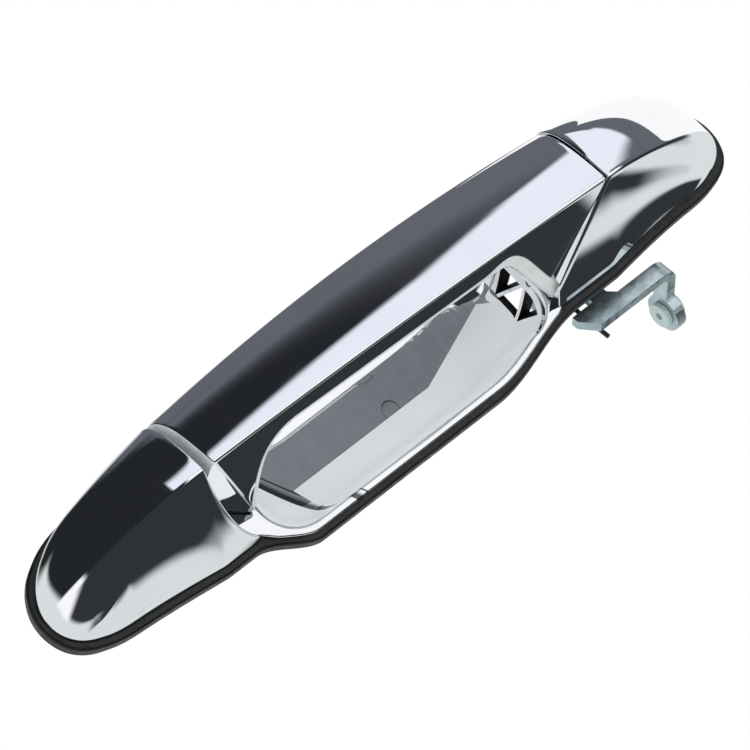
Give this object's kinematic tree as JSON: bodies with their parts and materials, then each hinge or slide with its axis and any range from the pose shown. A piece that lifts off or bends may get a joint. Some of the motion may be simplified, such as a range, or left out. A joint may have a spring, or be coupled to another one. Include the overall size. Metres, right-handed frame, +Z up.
{
  "type": "car door handle",
  "caption": "Chrome pull-type outside door handle for a car, with a hinged strap over a dished bucket and a release lever that hangs below.",
  "frame": {"origin": "on the outer face of the door skin, where the back of the gasket lies, level with the middle of the handle's height and half way between the strap's two seams", "axes": "+X along the handle from the hinge end to the release end, +Y into the door, +Z up on the door"},
  "size_m": [0.2957, 0.0783, 0.0724],
  "materials": {
    "chrome": "mirror-bright plating on moulded plastic",
    "black_plastic": "fine moulded grain",
    "rubber": "soft matt rubber",
    "steel": "zinc-plated steel",
    "zinc": "die-cast zinc with a bluish passivated surface",
    "acetal": "natural acetal, faintly greenish white",
    "dark_steel": "black-oxide steel"
  },
  "bodies": {
    "base": {"left_end_cap": "chrome", "right_end_cap": "chrome", "bucket": "chrome", "chassis": "black_plastic", "gasket": "rubber", "bumper_upper": "rubber", "bumper_lower": "rubber", "hinge_pin": "steel", "lever_pin": "steel", "mounting_stud_left": "steel", "mounting_stud_right": "steel", "lever_clip": "dark_steel", "return_spring": "dark_steel", "cap_screw_1": "dark_steel", "cap_screw_2": "dark_steel", "cap_screw_3": "dark_steel", "cap_screw_4": "dark_steel", "bucket_screw_1": "dark_steel", "bucket_screw_2": "dark_steel", "bucket_screw_3": "dark_steel"},
    "strap": {"strap_shell": "chrome", "strap_backing": "black_plastic", "strap_core": "steel", "backing_screw_1": "dark_steel", "backing_screw_2": "dark_steel", "hinge_arm": "zinc", "hinge_bush_lower": "acetal", "hinge_bush_upper": "acetal", "release_leg": "zinc"},
    "lever": {"release_lever": "zinc", "rod_bushing": "acetal"}
  },
  "joints": [
    {"name": "strap_pull", "type": "hinge", "parent": "base", "child": "strap", "pos_m": [-0.075, -0.008, 0.0065], "axis": [0, 0, -1], "range_deg": [0, 5]},
    {"name": "lever_turn", "type": "hinge", "parent": "base", "child": "lever", "pos_m": [0.08, 0.01, -0.013], "axis": [1, 0, 0], "range_deg": [0, 35], "stiffness_Nm_per_rad": 0.25, "springref_deg": -17.19, "deforming": ["return_spring"]}
  ],
  "couplings": [
    {"joint": "lever_turn", "follows": "strap_pull", "ratio": 7}
  ]
}
